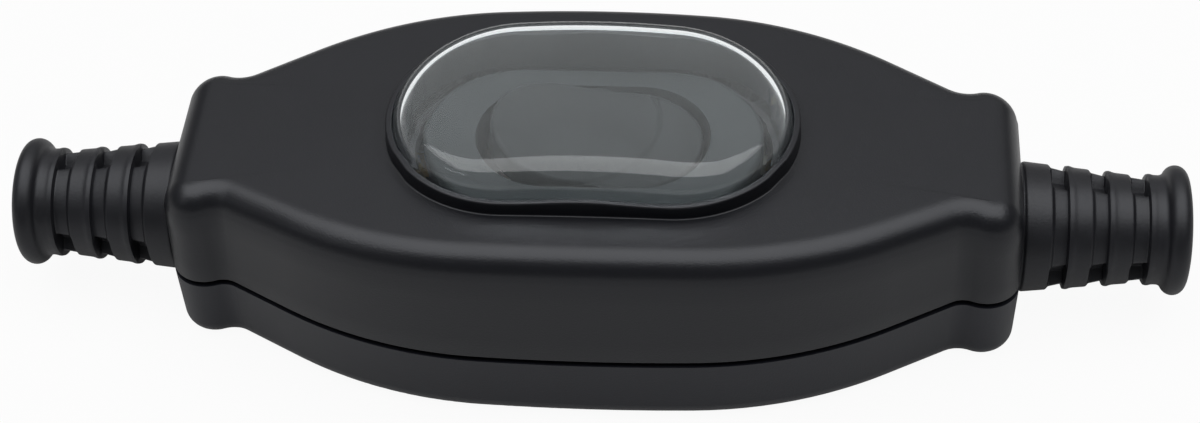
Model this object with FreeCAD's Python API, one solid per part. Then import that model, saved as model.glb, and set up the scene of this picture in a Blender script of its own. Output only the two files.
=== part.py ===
import FreeCAD, Part
import math
import os

Vector = FreeCAD.Vector

# Splash-proof inline cord switch. Millimetres, +Z up, X along the cord, the underside on Z = 0.
# The origin is the middle of the underside. "Left" is -X, "front" is -Y.

# Housing outline, seen from above
housing_length = 99.0
housing_width = 45.2
ear_step = 0.5            # each side of an end block stands out from the waist before it
belly_radius = 258.0      # nearly flat middle of each long side
belly_half_span = 12.3
shoulder_fullness = 0.936  # 1 would let the shoulder's arc run right into the waist's
waist_radius = 2.6
end_corner_radius = 4.0

# Housing section
housing_height = 25.2
parting_height = 9.4
parting_gap = 0.45
crown_radius = 470.0      # the roof bends down toward both ends
cover_draft = 0.4         # lean of the cover's walls over their height
base_draft = 0.3
wall = 2.4
roof = 2.3
floor = 2.2
top_edge_radius = 3.2
bottom_edge_radius = 2.4

# Tongue of the base inside the cover, and the seal on it
tongue_step = 1.2         # from the outside of the wall in to the tongue
tongue_height = 1.7
seal_height = 0.9
tongue_clearance = 0.1

# Window collar on the roof
collar_straight = 9.2     # half length of the obround's straight sides
collar_lip = 0.8
collar_height = 1.5
collar_rise = 0.5         # hump in the middle of each long side
collar_rise_span = 9.5

# Clear cap in the collar
cap_wall = 0.8
cap_top_height = 6.2      # above the roof
cap_edge_radius = 2.4
cap_dome_radius = 95.0
cap_fit = 0.1
cap_flange_width = 1.7
cap_flange_thickness = 1.2
cap_seat_depth = 1.0      # pad under the roof, so the flange sits flat
cap_seat_rim = 1.0        # pad beyond the flange

# Frame that clamps the cap's flange from inside
clamp_frame_thickness = 1.6
clamp_frame_inset = 1.7   # its inner edge stands in from the cap's wall
clamp_frame_rim = 0.3
clamp_screw_angle = 42.0
clamp_screw_beyond = 1.3  # outside the cap's flange
clamp_screw_radius = 0.9
clamp_screw_length = 3.6
clamp_screw_head = 1.7
clamp_screw_head_height = 1.1
clamp_lug_radius = 2.6

# Rocker and its frame
rocker_straight = 4.3
rocker_radius = 8.0
rocker_tilt = 8.0         # each side of level
rocker_below_roof = 1.6
rocker_plate = 2.4
rocker_dish_radius = 60.0
rocker_edge_radius = 0.5
rocker_over_pivot = 3.2   # middle of the key, above its pivot
trunnion_radius = 2.0
trunnion_length = 2.0
trunnion_clearance = 0.05
hub_radius = 3.2
rocker_side_gap = 0.35
rocker_end_gap = 0.9
frame_wall = 3.4          # from the rocker's side to the outside of its frame
frame_gap = 0.6           # to the clamp frame round it
frame_end_gap = 0.8       # more at both ends
frame_edge_radius = 0.7
slot_end_gap = 0.3

# Plungers and springs in the rocker's legs
pole_inset = 3.6          # from the rocker's side
leg_radius = 2.5
leg_share = 0.627         # of the way from the pivot to the bridge
plunger_radius = 1.45
plunger_clearance = 0.07
plunger_share = 0.562     # of the same way
spring_wire = 0.4
spring_turns = 4.0
spring_wall_gap = 0.1
spring_end_gap = 0.02

# Contacts
bridge_pivot_height = 10.4
bridge_thickness = 1.0
bridge_width = 3.4
bridge_half_length = 9.0
bridge_gap = 0.15         # plunger over the bridge with the rocker level
contact_at = 7.6
contact_radius = 1.4
contact_height = 0.8
contact_air = 0.3
bridge_corner_radius = 0.6
knife_thickness = 1.2
knife_bevel = 1.0
knife_gap = 0.05
strip_thickness = 0.8
strip_width = 3.0
cage_length = 6.4
cage_width = 5.2
cage_height = 6.2
cage_chamfer = 0.4
cage_end_gap = 0.6        # to the open end of the block
wire_hole_radius = 1.5
wire_hole_height = 2.4    # above the underside of a cage or bar
terminal_screw_radius = 1.25
terminal_screw_head = 2.0
terminal_screw_head_height = 1.5
terminal_screw_length = 3.6

# Contact block
block_top = 13.0
block_half_length = 28.0
block_inset = 0.8         # its sides stand in from the rocker frame's
block_body_half_length = 20.4
block_side_wall = 0.85
block_corner_radius = 0.8
chamber_half_length = 10.6
pocket_clearance = 0.15
bridge_room = 0.5
ledge_length = 1.6        # stops under the bridges' left ends
strip_floor = 6.6
stop_gap = 0.2            # stops of the base round the block's shoulders
stop_thickness = 1.4
stop_below_parting = 3.0
body_screw_at = 17.0
body_screw_radius = 1.2
body_screw_length = 14.0
body_screw_head = 2.3
body_screw_head_height = 1.6
hold_post_at = 26.2       # posts of the cover that hold the block down
hold_post_radius = 1.3
hold_post_gap = 0.1

# Earth terminal beside the block
earth_length = 14.0
earth_width = 4.8
earth_height = 7.0
earth_seat = 5.0
earth_screw_at = 4.4
earth_rest_gap = 0.15
earth_rest_thickness = 1.2
earth_rest_height = 4.0

# Cable and cord clamps
cable_radius = 4.3
cable_height = 10.7
clamp_from_end = 14.5     # middle of the clamp, from the housing's end
clamp_width = 6.0
clamp_bar = 2.6
clamp_bar_corner = 1.6
clamp_arch = 1.5
clamp_bolt_edge = 2.4     # from the bolt's axis to the end of the bar
clamp_end_gap = 1.05      # from the bar's end to the plane of the waist
clamp_saddle_drop = 1.8   # below the parting
clamp_bolt_radius = 1.3
clamp_bolt_head = 2.2
clamp_bolt_head_height = 1.8
clamp_bolt_length = 8.0
clamp_post_radius = 2.6

# Housing screws, from below
screw_from_clamp = 5.0    # toward the middle
screw_radius = 1.4
screw_head_radius = 2.6
screw_head_height = 1.8
screw_length = 14.0
screw_recess = 5.0
screw_boss_radius = 3.9
screw_boss_gap = 0.3      # to the contact block
cover_boss_radius = 3.0
screw_clearance = 0.2
shank_clearance = 0.15    # in a through hole of a small screw
thread_clearance = 0.05   # round every screw in its core hole
core_hole_extra = 0.5     # depth beyond the screw's point
head_chamfer_share = 0.3
head_slot_share = 0.4
head_slot_width = 0.6

# Cable boots
boot_wall = 3.2           # rubber round the cable at the housing's end
boot_end_wall = 1.9       # at the neck before the flange
boot_flange_wall = 3.3
boot_length = 19.4        # outside the housing
boot_taper_length = 12.6
boot_bead_radius = 1.45
boot_mouth_depth = 0.6
boot_band_pitch = 4.65
boot_first_groove = 4.0   # centre of the first groove, from the housing's end
boot_groove_width = 2.1
boot_groove_depth = 0.5
boot_groove_count = 3
boot_pocket_count = 3
boot_pocket_angle = 42.0
boot_pocket_first = 105.0
boot_pocket_floor = 0.7   # rubber left over the bore
boot_collar_inset = 1.55  # from the inside of the end block to the boot's collar
boot_collar_thickness = 1.9
boot_tail_wall = 1.7
boot_tail_length = 4.0
boot_plate = 1.8          # plates inside the end walls, behind the boots' collars
boot_fit = 0.1
boot_collar_gap = 0.3     # along X, to the end wall and to the plate behind

# Derived sizes
half_length = housing_length / 2
clamp_at = half_length - clamp_from_end
screw_x = clamp_at - screw_from_clamp
cover_bottom = parting_height + parting_gap / 2
base_top = parting_height - parting_gap / 2
crown_centre = housing_height - crown_radius
pad_bottom = housing_height - roof - cap_seat_depth
tongue_top = base_top + tongue_height

rocker_top = housing_height - rocker_below_roof
pivot_height = rocker_top - rocker_over_pivot
frame_top = rocker_top
frame_radius = rocker_radius + frame_wall
frame_straight = collar_straight - frame_end_gap
clamp_frame_inner = frame_radius + frame_gap
cap_radius = clamp_frame_inner + clamp_frame_inset
cap_peak = housing_height + cap_top_height
cap_flange_radius = cap_radius + cap_flange_width
cap_flange_bottom = pad_bottom - cap_flange_thickness
collar_radius = cap_radius + cap_fit + collar_lip
clamp_frame_bottom = cap_flange_bottom - clamp_frame_thickness
clamp_screw_offset = cap_flange_radius + clamp_screw_beyond

pole_offset = rocker_radius - pole_inset
block_half_width = frame_radius - block_inset
block_end_half_width = pole_offset + cage_width / 2 + pocket_clearance + block_side_wall
cage_x = block_half_length - cage_length / 2 - cage_end_gap
strip_top = strip_floor + strip_thickness
plunger_tip_reach = pivot_height - bridge_pivot_height - bridge_thickness - bridge_gap
plunger_length = plunger_share * plunger_tip_reach
leg_length = leg_share * plunger_tip_reach
bore_ceiling = rocker_over_pivot - rocker_plate
earth_at = (block_half_width + housing_width / 2 - wall - base_draft) / 2
screw_y = block_end_half_width + screw_boss_gap + screw_boss_radius

clamp_bolt_offset = cable_radius + clamp_arch + clamp_bolt_head
clamp_half_span = clamp_bolt_offset + clamp_bolt_edge
waist_width = 2 * (clamp_half_span + clamp_end_gap)
end_block_width = waist_width + 2 * ear_step
boot_radius = cable_radius + boot_wall
boot_end_radius = cable_radius + boot_end_wall
boot_flange_radius = cable_radius + boot_flange_wall
boot_tail_radius = cable_radius + boot_tail_wall
boot_collar_radius = end_block_width / 2 - wall - boot_collar_inset
past = 1.0                # cutting shapes reach this far past what they cut
axis_x = Vector(1, 0, 0)
axis_y = Vector(0, 1, 0)
axis_z = Vector(0, 0, 1)
corners = [(sx, sy) for sx in (-1, 1) for sy in (-1, 1)]


def box(x0, x1, y0, y1, z0, z1):
    """Block between two opposite corners."""
    return Part.makeBox(x1 - x0, y1 - y0, z1 - z0, Vector(x0, y0, z0))


def rod(radius, length, start, direction=axis_z):
    """Round bar from its start point along a direction."""
    return Part.makeCylinder(radius, length, Vector(*start), direction)


def prism(wire, height):
    """A flat wire raised to a straight-sided solid."""
    return Part.Face(wire).extrude(Vector(0, 0, height))


def obround(straight, radius, z):
    """Two half circles joined by straight sides along X."""
    edges = [
        Part.LineSegment(Vector(-straight, -radius, z), Vector(straight, -radius, z)),
        Part.Arc(Vector(straight, -radius, z), Vector(straight + radius, 0, z),
                 Vector(straight, radius, z)),
        Part.LineSegment(Vector(straight, radius, z), Vector(-straight, radius, z)),
        Part.Arc(Vector(-straight, radius, z), Vector(-straight - radius, 0, z),
                 Vector(-straight, -radius, z)),
    ]
    return Part.Wire([edge.toShape() for edge in edges])


def obround_ring(straight, outer, inner, z0, z1):
    """Upright ring between two obrounds that share their straight sides."""
    ring = prism(obround(straight, outer, z0), z1 - z0)
    return ring.cut(prism(obround(straight, inner, z0), z1 - z0))


def mirror_x(shape):
    return shape.mirror(Vector(0, 0, 0), axis_x)


def mirror_y(shape):
    return shape.mirror(Vector(0, 0, 0), axis_y)


def union(shapes):
    """One solid from several that meet."""
    return shapes[0].multiFuse(shapes[1:]).removeSplitter()


# Plan outline: centres of the tangent arcs of one quarter, and the directions where they meet.
# A direction is the outward normal, measured from +Y toward +X.
corner_start = math.acos(1 - ear_step / (waist_radius + end_corner_radius))
corner_centre = (half_length - end_corner_radius, end_block_width / 2 - end_corner_radius)
waist_centre = (
    corner_centre[0] - (end_corner_radius + waist_radius) * math.sin(corner_start),
    waist_width / 2 + waist_radius,
)
belly_end = math.asin(belly_half_span / belly_radius)
belly_centre = (0.0, housing_width / 2 - belly_radius)
# The largest shoulder touches the belly's end and the waist's arc; ours is a little smaller.
waist_to_belly_x = belly_half_span - waist_centre[0]
waist_to_belly_y = belly_centre[1] + belly_radius * math.cos(belly_end) - waist_centre[1]
along_normal = waist_to_belly_x * math.sin(belly_end) + waist_to_belly_y * math.cos(belly_end)
waist_to_belly = math.hypot(waist_to_belly_x, waist_to_belly_y)
largest_shoulder = (waist_to_belly ** 2 - waist_radius ** 2) / 2 / (along_normal + waist_radius)
shoulder_radius = shoulder_fullness * largest_shoulder
shoulder_centre = (
    (belly_radius - shoulder_radius) * math.sin(belly_end),
    belly_centre[1] + (belly_radius - shoulder_radius) * math.cos(belly_end),
)
centres_dx = waist_centre[0] - shoulder_centre[0]
centres_dy = waist_centre[1] - shoulder_centre[1]
centres_apart = math.hypot(centres_dx, centres_dy)
side_slope = math.atan2(centres_dx, centres_dy) - math.acos((shoulder_radius + waist_radius) / centres_apart)


def on_arc(centre, radius, direction, z):
    """Point of an arc at an outward normal direction."""
    return Vector(centre[0] + radius * math.sin(direction), centre[1] + radius * math.cos(direction), z)


def quarter_outline(inset, z):
    """Start, middle and end points of each edge of one quarter, from the end face to the middle."""
    corner = end_corner_radius - inset
    waist = -(waist_radius + inset)
    shoulder = shoulder_radius - inset
    belly = belly_radius - inset
    right = math.pi / 2
    arcs = [
        (corner_centre, corner, right, -corner_start),
        (waist_centre, waist, -corner_start, side_slope),
        (shoulder_centre, shoulder, side_slope, belly_end),
        (belly_centre, belly, belly_end, 0.0),
    ]
    edges = [(Vector(half_length - inset, 0, z), None, on_arc(corner_centre, corner, right, z))]
    for index, (centre, radius, first, last) in enumerate(arcs):
        if index == 2:
            edges.append((edges[-1][2], None, on_arc(centre, radius, first, z)))
        middle = on_arc(centre, radius, (first + last) / 2, z)
        edges.append((on_arc(centre, radius, first, z), middle, on_arc(centre, radius, last, z)))
    return edges


def housing_outline(inset, z):
    """Closed plan outline at a height, drawn in from the nominal outline by an inset."""
    quarter = quarter_outline(inset, z)
    wire = []
    for sx, sy in ((1, 1), (-1, 1), (-1, -1), (1, -1)):
        run = quarter if sx * sy > 0 else [edge[::-1] for edge in quarter[::-1]]
        for start, middle, end in run:
            points = [Vector(p.x * sx, p.y * sy, p.z) for p in (start, middle, end) if p is not None]
            curve = Part.Arc(*points) if middle is not None else Part.LineSegment(*points)
            wire.append(curve.toShape())
    return Part.Wire(wire)


def walls(inset_low, z_low, inset_high, z_high):
    """Solid inside the plan outline, its sides leaning from one inset to another."""
    return Part.makeLoft([housing_outline(inset_low, z_low), housing_outline(inset_high, z_high)], True, True)


def under_crown(depth):
    """Everything below the bent roof, a depth under its outer face."""
    return rod(crown_radius - depth, 2 * housing_width, (0, -housing_width, crown_centre), axis_y)


def outer_edges(shape, z, tolerance=0.01):
    """Edges that lie flat at one height."""
    return [e for e in shape.Edges
            if abs(e.BoundBox.ZMin - z) < tolerance and abs(e.BoundBox.ZMax - z) < tolerance]


def upright_edges(shape):
    """Edges as tall as the shape itself."""
    return [e for e in shape.Edges if e.BoundBox.ZLength > shape.BoundBox.ZLength - 0.01]


def crown_edges(shape):
    """Edges round the bent roof face."""
    for face in shape.Faces:
        if isinstance(face.Surface, Part.Cylinder) and abs(face.Surface.Radius - crown_radius) < 0.01:
            return face.OuterWire.Edges
    return []


def cable_way(radius, x0, x1):
    """Round bar on the cable's axis."""
    return rod(radius, x1 - x0, (x0, 0, cable_height), axis_x)


def cover_cavity():
    inside = walls(wall, cover_bottom - past, wall + cover_draft, housing_height)
    return inside.common(under_crown(roof))


def base_cavity():
    return walls(wall + base_draft, floor, wall, tongue_top + past)


def boot_seats(cavity, z0, z1):
    """Plates across both end blocks that trap the boots' collars."""
    plate_end = half_length - wall - boot_collar_thickness - 2 * boot_collar_gap
    plate = box(plate_end - boot_plate, plate_end, -housing_width, housing_width, z0, z1).common(cavity)
    return [plate, mirror_x(plate)]


def boot_openings():
    """Holes for both boots through the end walls and through the plates behind them."""
    through = cable_way(boot_radius + boot_fit, half_length - wall - past, half_length + past)
    tail = cable_way(boot_tail_radius + boot_fit, clamp_at + clamp_width, half_length - wall)
    right = through.fuse(tail)
    return [right, mirror_x(right)]


def collar_top_cut():
    """Everything above the collar's edge: level, with a smooth hump of three arcs in the middle."""
    level = housing_height + collar_height
    span = collar_rise_span
    bend = (span ** 2 + collar_rise ** 2) / (4 * collar_rise)
    half_turn = math.asin(span / 2 / bend) / 2
    lift = bend * (1 - math.cos(half_turn))
    run = bend * math.sin(half_turn)
    depth = -collar_radius - past
    far = collar_straight + collar_radius + past
    high = level + collar_rise + 2 * past

    def at(x, z):
        return Vector(x, depth, z)

    half_rise = level + collar_rise / 2
    edges = [
        Part.LineSegment(at(-far, level), at(-span, level)),
        Part.Arc(at(-span, level), at(-span + run, level + lift), at(-span / 2, half_rise)),
        Part.Arc(at(-span / 2, half_rise), at(0, level + collar_rise), at(span / 2, half_rise)),
        Part.Arc(at(span / 2, half_rise), at(span - run, level + lift), at(span, level)),
        Part.LineSegment(at(span, level), at(far, level)),
        Part.LineSegment(at(far, level), at(far, high)),
        Part.LineSegment(at(far, high), at(-far, high)),
        Part.LineSegment(at(-far, high), at(-far, level)),
    ]
    outline = Part.Wire([edge.toShape() for edge in edges])
    return Part.Face(outline).extrude(Vector(0, -2 * depth, 0))


def clamp_screw_places():
    """Places of the screws that hold the cap's clamp frame."""
    turn = math.radians(clamp_screw_angle)
    x = collar_straight + clamp_screw_offset * math.cos(turn)
    y = clamp_screw_offset * math.sin(turn)
    return [(sx * x, sy * y) for sx, sy in corners]


def make_cover():
    shell = walls(0, cover_bottom, cover_draft, housing_height + past).common(under_crown(0))
    shell = shell.makeFillet(top_edge_radius, crown_edges(shell))
    cavity = cover_cavity()
    shell = shell.cut(cavity)
    collar = obround_ring(collar_straight, collar_radius, collar_radius - collar_lip,
                          pad_bottom, housing_height + collar_height + collar_rise + past)
    collar = collar.cut(collar_top_cut())
    pad = prism(obround(collar_straight, cap_flange_radius + cap_seat_rim, pad_bottom), roof)
    additions = [shell, collar, pad]
    for x, y in clamp_screw_places():
        additions.append(rod(clamp_lug_radius, housing_height - roof / 2 - cap_flange_bottom,
                             (x, y, cap_flange_bottom)))
    for sx, sy in corners:
        height = housing_height - roof - cover_bottom
        boss = rod(cover_boss_radius, height, (sx * screw_x, sy * screw_y, cover_bottom))
        additions.append(boss.common(under_crown(roof / 2)))
    additions += boot_seats(cavity, cover_bottom, housing_height)
    for sx in (-1, 1):
        post = rod(hold_post_radius, housing_height, (sx * hold_post_at, 0, block_top + hold_post_gap))
        additions.append(post.common(under_crown(roof / 2)))
    shell = union(additions)
    holes = boot_openings()
    rebate_top = tongue_top + seal_height
    outer = tongue_step - tongue_clearance
    inner = wall + base_draft + tongue_clearance
    rebate = walls(outer, cover_bottom - past, outer, rebate_top)
    holes.append(rebate.cut(walls(inner, cover_bottom - 2 * past, inner, rebate_top + past)))
    holes.append(prism(obround(collar_straight, cap_flange_radius + cap_fit, cap_flange_bottom - past),
                       cap_flange_thickness + past))
    holes.append(prism(obround(collar_straight, collar_radius - collar_lip, pad_bottom - past), housing_height))
    for x, y in clamp_screw_places():
        depth = clamp_screw_length - clamp_frame_thickness + core_hole_extra / 2
        holes.append(rod(clamp_screw_radius + thread_clearance, depth, (x, y, cap_flange_bottom)))
    for sx, sy in corners:
        depth = screw_recess + screw_length + core_hole_extra - cover_bottom
        holes.append(rod(screw_radius + thread_clearance, depth, (sx * screw_x, sy * screw_y, cover_bottom)))
    for hole in holes:
        shell = shell.cut(hole)
    return shell


def make_base():
    shell = walls(base_draft, 0, 0, base_top)
    shell = shell.makeFillet(bottom_edge_radius, outer_edges(shell, 0))
    cavity = base_cavity()
    tongue = walls(tongue_step, base_top - past, tongue_step, tongue_top)
    shell = shell.fuse(tongue).cut(cavity)
    additions = [shell]
    rooted = floor / 2
    for sx, sy in corners:
        height = base_top - rooted
        additions.append(rod(screw_boss_radius, height, (sx * screw_x, sy * screw_y, rooted)))
        additions.append(rod(clamp_post_radius, height, (sx * clamp_at, sy * clamp_bolt_offset, rooted)))
    stop_start = block_body_half_length + stop_gap
    stop = box(stop_start, stop_start + stop_thickness, block_end_half_width + stop_gap, block_half_width,
               rooted, parting_height - stop_below_parting)
    stops = [stop, mirror_y(stop)]
    saddle = box(clamp_at - clamp_width / 2, clamp_at + clamp_width / 2, -clamp_bolt_offset, clamp_bolt_offset,
                 rooted, parting_height - clamp_saddle_drop)
    rest_start = earth_length / 2 + earth_rest_gap
    rest_end = rest_start + earth_rest_thickness
    rest_front = earth_at - earth_width / 2
    rest_rear = earth_at + earth_width / 2
    rest = box(rest_start, rest_end, rest_front, rest_rear, rooted, earth_seat + earth_rest_height)
    for piece in stops + [saddle, rest]:
        additions += [piece, mirror_x(piece)]
    additions.append(box(-rest_end, rest_end, rest_front, rest_rear, rooted, earth_seat))
    additions += boot_seats(cavity, rooted, base_top)
    inside = walls(wall / 2, rooted, wall / 2, tongue_top)
    additions = [additions[0]] + [piece.common(inside) for piece in additions[1:]]
    shell = union(additions)
    holes = boot_openings()
    for x in (-clamp_at, clamp_at):
        holes.append(cable_way(cable_radius, x - clamp_width, x + clamp_width))
    for sx, sy in corners:
        holes.append(rod(screw_head_radius + screw_clearance, screw_recess, (sx * screw_x, sy * screw_y, 0)))
        holes.append(rod(screw_radius + screw_clearance, base_top + past, (sx * screw_x, sy * screw_y, 0)))
        depth = clamp_bolt_length - clamp_bar + core_hole_extra
        start = (sx * clamp_at, sy * clamp_bolt_offset, base_top - depth)
        holes.append(rod(clamp_bolt_radius + thread_clearance, depth, start))
    for hole in holes:
        shell = shell.cut(hole)
    return shell


def make_seals():
    """Front and rear strips on the base's tongue, ending at the boots."""
    inset = tongue_step + tongue_clearance
    ring = walls(inset, tongue_top, inset, tongue_top + seal_height)
    ring = ring.cut(walls(wall, tongue_top - past, wall, tongue_top + seal_height + past))
    for opening in boot_openings():
        ring = ring.cut(opening)
    rear = ring.common(box(-housing_length, housing_length, boot_radius / 2, housing_width, 0, housing_height))
    return mirror_y(rear), rear


def make_cap():
    """Clear cap: an obround dome with rounded shoulders, hollow, on a flat flange."""
    def dome(inset):
        solid = prism(obround(collar_straight, cap_radius - inset, cap_flange_bottom),
                      cap_peak - cap_flange_bottom + past)
        ball = Part.makeSphere(cap_dome_radius - inset, Vector(0, 0, cap_peak - cap_dome_radius))
        solid = solid.common(ball)
        edges = [e for e in solid.Edges if e.BoundBox.ZMin > housing_height]
        return solid.makeFillet(cap_edge_radius - inset / 2, edges)

    flange = prism(obround(collar_straight, cap_flange_radius, cap_flange_bottom), cap_flange_thickness)
    return dome(0).fuse(flange).cut(dome(cap_wall)).removeSplitter()


def make_clamp_frame():
    """Flat ring under the cap's flange, with a lug for each screw."""
    frame = prism(obround(collar_straight, cap_flange_radius + clamp_frame_rim, clamp_frame_bottom),
                  clamp_frame_thickness)
    lugs = [rod(clamp_lug_radius, clamp_frame_thickness, (x, y, clamp_frame_bottom))
            for x, y in clamp_screw_places()]
    frame = union([frame] + lugs)
    opening = obround(collar_straight, clamp_frame_inner, clamp_frame_bottom - past)
    frame = frame.cut(prism(opening, housing_height))
    for x, y in clamp_screw_places():
        start = (x, y, clamp_frame_bottom - past)
        frame = frame.cut(rod(clamp_screw_radius + shank_clearance, housing_height, start))
    return frame


def screw(radius, length, head_radius, head_height, head_at, direction=1):
    """Pan-head screw; direction is 1 where the shank points up, -1 where it points down."""
    along = Vector(0, 0, direction)
    shank = rod(radius, length, head_at, along)
    head = rod(head_radius, head_height, head_at, -along)
    edge_z = head_at[2] - direction * head_height
    head = head.makeChamfer(head_height * head_chamfer_share, outer_edges(head, edge_z))
    slot_depth = head_height * head_slot_share
    slot_low = min(edge_z, edge_z + direction * slot_depth)
    slot = box(head_at[0] - head_radius, head_at[0] + head_radius, head_at[1] - head_slot_width / 2,
               head_at[1] + head_slot_width / 2, slot_low, slot_low + slot_depth)
    return shank.fuse(head).cut(slot)


def make_clamp_screws():
    return [screw(clamp_screw_radius, clamp_screw_length, clamp_screw_head, clamp_screw_head_height,
                  (x, y, clamp_frame_bottom)) for x, y in clamp_screw_places()]


def make_housing_screws():
    return [screw(screw_radius, screw_length, screw_head_radius, screw_head_height,
                  (sx * screw_x, sy * screw_y, screw_recess)) for sx, sy in corners]


def tilt_rocker(shape):
    """The rocker at rest: its right half pressed down."""
    return shape.rotate(Vector(0, 0, pivot_height), axis_y, rocker_tilt)


def make_rocker():
    """Dished oval key on a hub with trunnions, and a hollow leg for each plunger."""
    plate_low = rocker_top - rocker_plate
    plate = prism(obround(rocker_straight, rocker_radius, plate_low), 2 * rocker_plate)
    dish_at = (0, -rocker_radius - past, rocker_top + rocker_dish_radius)
    plate = plate.cut(rod(rocker_dish_radius, 2 * rocker_radius + 2 * past, dish_at, axis_y))
    rim = [e for e in plate.Edges if e.BoundBox.ZMin > plate_low + rocker_plate / 2]
    plate = plate.makeFillet(rocker_edge_radius, rim)
    hub = rod(hub_radius, 2 * rocker_radius, (0, -rocker_radius, pivot_height), axis_y)
    reach = rocker_radius + trunnion_length
    pin = rod(trunnion_radius, 2 * reach, (0, -reach, pivot_height), axis_y)
    pieces = [plate, hub, pin]
    for sy in (-1, 1):
        foot = (0, sy * pole_offset, pivot_height - leg_length)
        pieces.append(rod(leg_radius, leg_length + bore_ceiling, foot))
    key = union(pieces)
    for sy in (-1, 1):
        start = (0, sy * pole_offset, pivot_height - leg_length - past)
        key = key.cut(rod(plunger_radius + plunger_clearance, leg_length + past + bore_ceiling, start))
    return tilt_rocker(key)


def make_plunger(side):
    """Round-nosed pin in the rocker's leg."""
    nose = pivot_height - plunger_tip_reach + plunger_radius
    pin = rod(plunger_radius, plunger_length - plunger_radius, (0, side * pole_offset, nose))
    ball = Part.makeSphere(plunger_radius, Vector(0, side * pole_offset, nose))
    return tilt_rocker(pin.fuse(ball).removeSplitter())


def make_spring(side):
    """Coil spring between the plunger and the top of the leg's bore."""
    low = pivot_height - plunger_tip_reach + plunger_length
    high = pivot_height + bore_ceiling
    coil_radius = plunger_radius - spring_wall_gap - spring_wire / 2
    wire_radius = spring_wire / 2
    height = high - low - spring_wire - 2 * spring_end_gap
    start = low + wire_radius + spring_end_gap
    helix = Part.makeHelix(height / spring_turns, height, coil_radius)
    helix.translate(Vector(0, 0, start))
    circle = Part.Circle(Vector(coil_radius, 0, start), axis_y, wire_radius)
    coil = Part.Wire(helix.Edges).makePipeShell([Part.Wire(circle.toShape())], True, True)
    coil.translate(Vector(0, side * pole_offset, 0))
    return tilt_rocker(Part.Solid(coil))


def make_rocker_frame():
    """Block round the rocker; open slots below take its trunnions, which the springs push up."""
    body = prism(obround(frame_straight, frame_radius, block_top), frame_top - block_top)
    body = body.makeFillet(frame_edge_radius, outer_edges(body, frame_top))
    opening = obround(rocker_straight + rocker_end_gap, rocker_radius + rocker_side_gap, block_top - past)
    body = body.cut(prism(opening, frame_top - block_top + 2 * past))
    slot_radius = trunnion_radius + trunnion_clearance
    reach = rocker_radius + trunnion_length + slot_end_gap
    slot = rod(slot_radius, 2 * reach, (0, -reach, pivot_height), axis_y)
    slot = slot.fuse(box(-slot_radius, slot_radius, -reach, reach, block_top - past, pivot_height))
    body = body.cut(slot)
    for sx in (-1, 1):
        depth = body_screw_length - (block_top - floor - body_screw_head_height) + core_hole_extra
        body = body.cut(rod(body_screw_radius + thread_clearance, depth, (sx * body_screw_at, 0, block_top)))
    return body


def make_contact_block():
    """Insulating block with a channel for each pole: cage pocket, slot, chamber, slot, cage pocket."""
    middle = box(-block_body_half_length, block_body_half_length, -block_half_width, block_half_width,
                 floor, block_top)
    ends = box(-block_half_length, block_half_length, -block_end_half_width, block_end_half_width,
               floor, block_top)
    body = union([piece.makeFillet(block_corner_radius, upright_edges(piece)) for piece in (middle, ends)])
    cage_half = cage_width / 2 + pocket_clearance
    slot_half = strip_width / 2 + pocket_clearance
    room = bridge_width / 2 + bridge_room
    above = block_top + past
    pocket_x = cage_x - cage_length / 2 - pocket_clearance
    for sy in (-1, 1):
        y = sy * pole_offset
        body = body.cut(box(-chamber_half_length, chamber_half_length, y - room, y + room, strip_floor, above))
        slot_x = pocket_x + past
        body = body.cut(box(-slot_x, slot_x, y - slot_half, y + slot_half, strip_floor, above))
        for sx in (-1, 1):
            pocket = box(pocket_x, block_half_length + past, -cage_half, cage_half, strip_floor, above)
            pocket = pocket if sx > 0 else mirror_x(pocket)
            pocket.translate(Vector(0, y, 0))
            body = body.cut(pocket)
        ledge_top = bridge_pivot_height - bridge_half_length * math.sin(math.radians(rocker_tilt)) - contact_air
        ledge = box(-chamber_half_length, -bridge_half_length + ledge_length, y - room,
                    y - slot_half - knife_gap, strip_floor, ledge_top)
        body = body.fuse(ledge)
    for sx in (-1, 1):
        under = (sx * body_screw_at, 0, floor - past)
        body = body.cut(rod(body_screw_radius + shank_clearance, block_top, under))
        body = body.cut(rod(body_screw_head + shank_clearance, body_screw_head_height + past, under))
    return body.removeSplitter()


def make_body_screws():
    return [screw(body_screw_radius, body_screw_length, body_screw_head, body_screw_head_height,
                  (sx * body_screw_at, 0, floor + body_screw_head_height)) for sx in (-1, 1)]


def terminal_cage(side, end):
    """Brass cage with a wire hole along X and a threaded hole from above."""
    y = side * pole_offset
    x = end * cage_x
    cage = box(x - cage_length / 2, x + cage_length / 2, y - cage_width / 2, y + cage_width / 2,
               strip_floor, strip_floor + cage_height)
    cage = cage.makeChamfer(cage_chamfer, upright_edges(cage))
    hole_z = strip_floor + wire_hole_height
    way = rod(wire_hole_radius, cage_length, (x - cage_length / 2, y, hole_z), axis_x)
    thread = rod(terminal_screw_radius + thread_clearance, cage_height, (x, y, hole_z))
    return cage.cut(way).cut(thread)


def make_centre_terminal(side):
    """Knife-edge post under the bridge, with its strip to the left-hand cage."""
    y = side * pole_offset
    half = knife_thickness / 2
    strip = box(-cage_x, half, y - strip_width / 2, y + strip_width / 2, strip_floor, strip_top)
    peak = bridge_pivot_height - knife_gap
    front = y - strip_width / 2
    shoulder = peak - knife_bevel
    outline = [(-half, strip_floor), (half, strip_floor), (half, shoulder), (0, peak), (-half, shoulder),
               (-half, strip_floor)]
    profile = Part.makePolygon([Vector(x, front, z) for x, z in outline])
    post = Part.Face(profile).extrude(Vector(0, strip_width, 0))
    cage = terminal_cage(side, -1)
    strip = strip.cut(box(-cage_x, -cage_x + cage_length / 2, y - cage_width / 2, y + cage_width / 2,
                          strip_floor, strip_top))
    return union([strip, post, cage])


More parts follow.
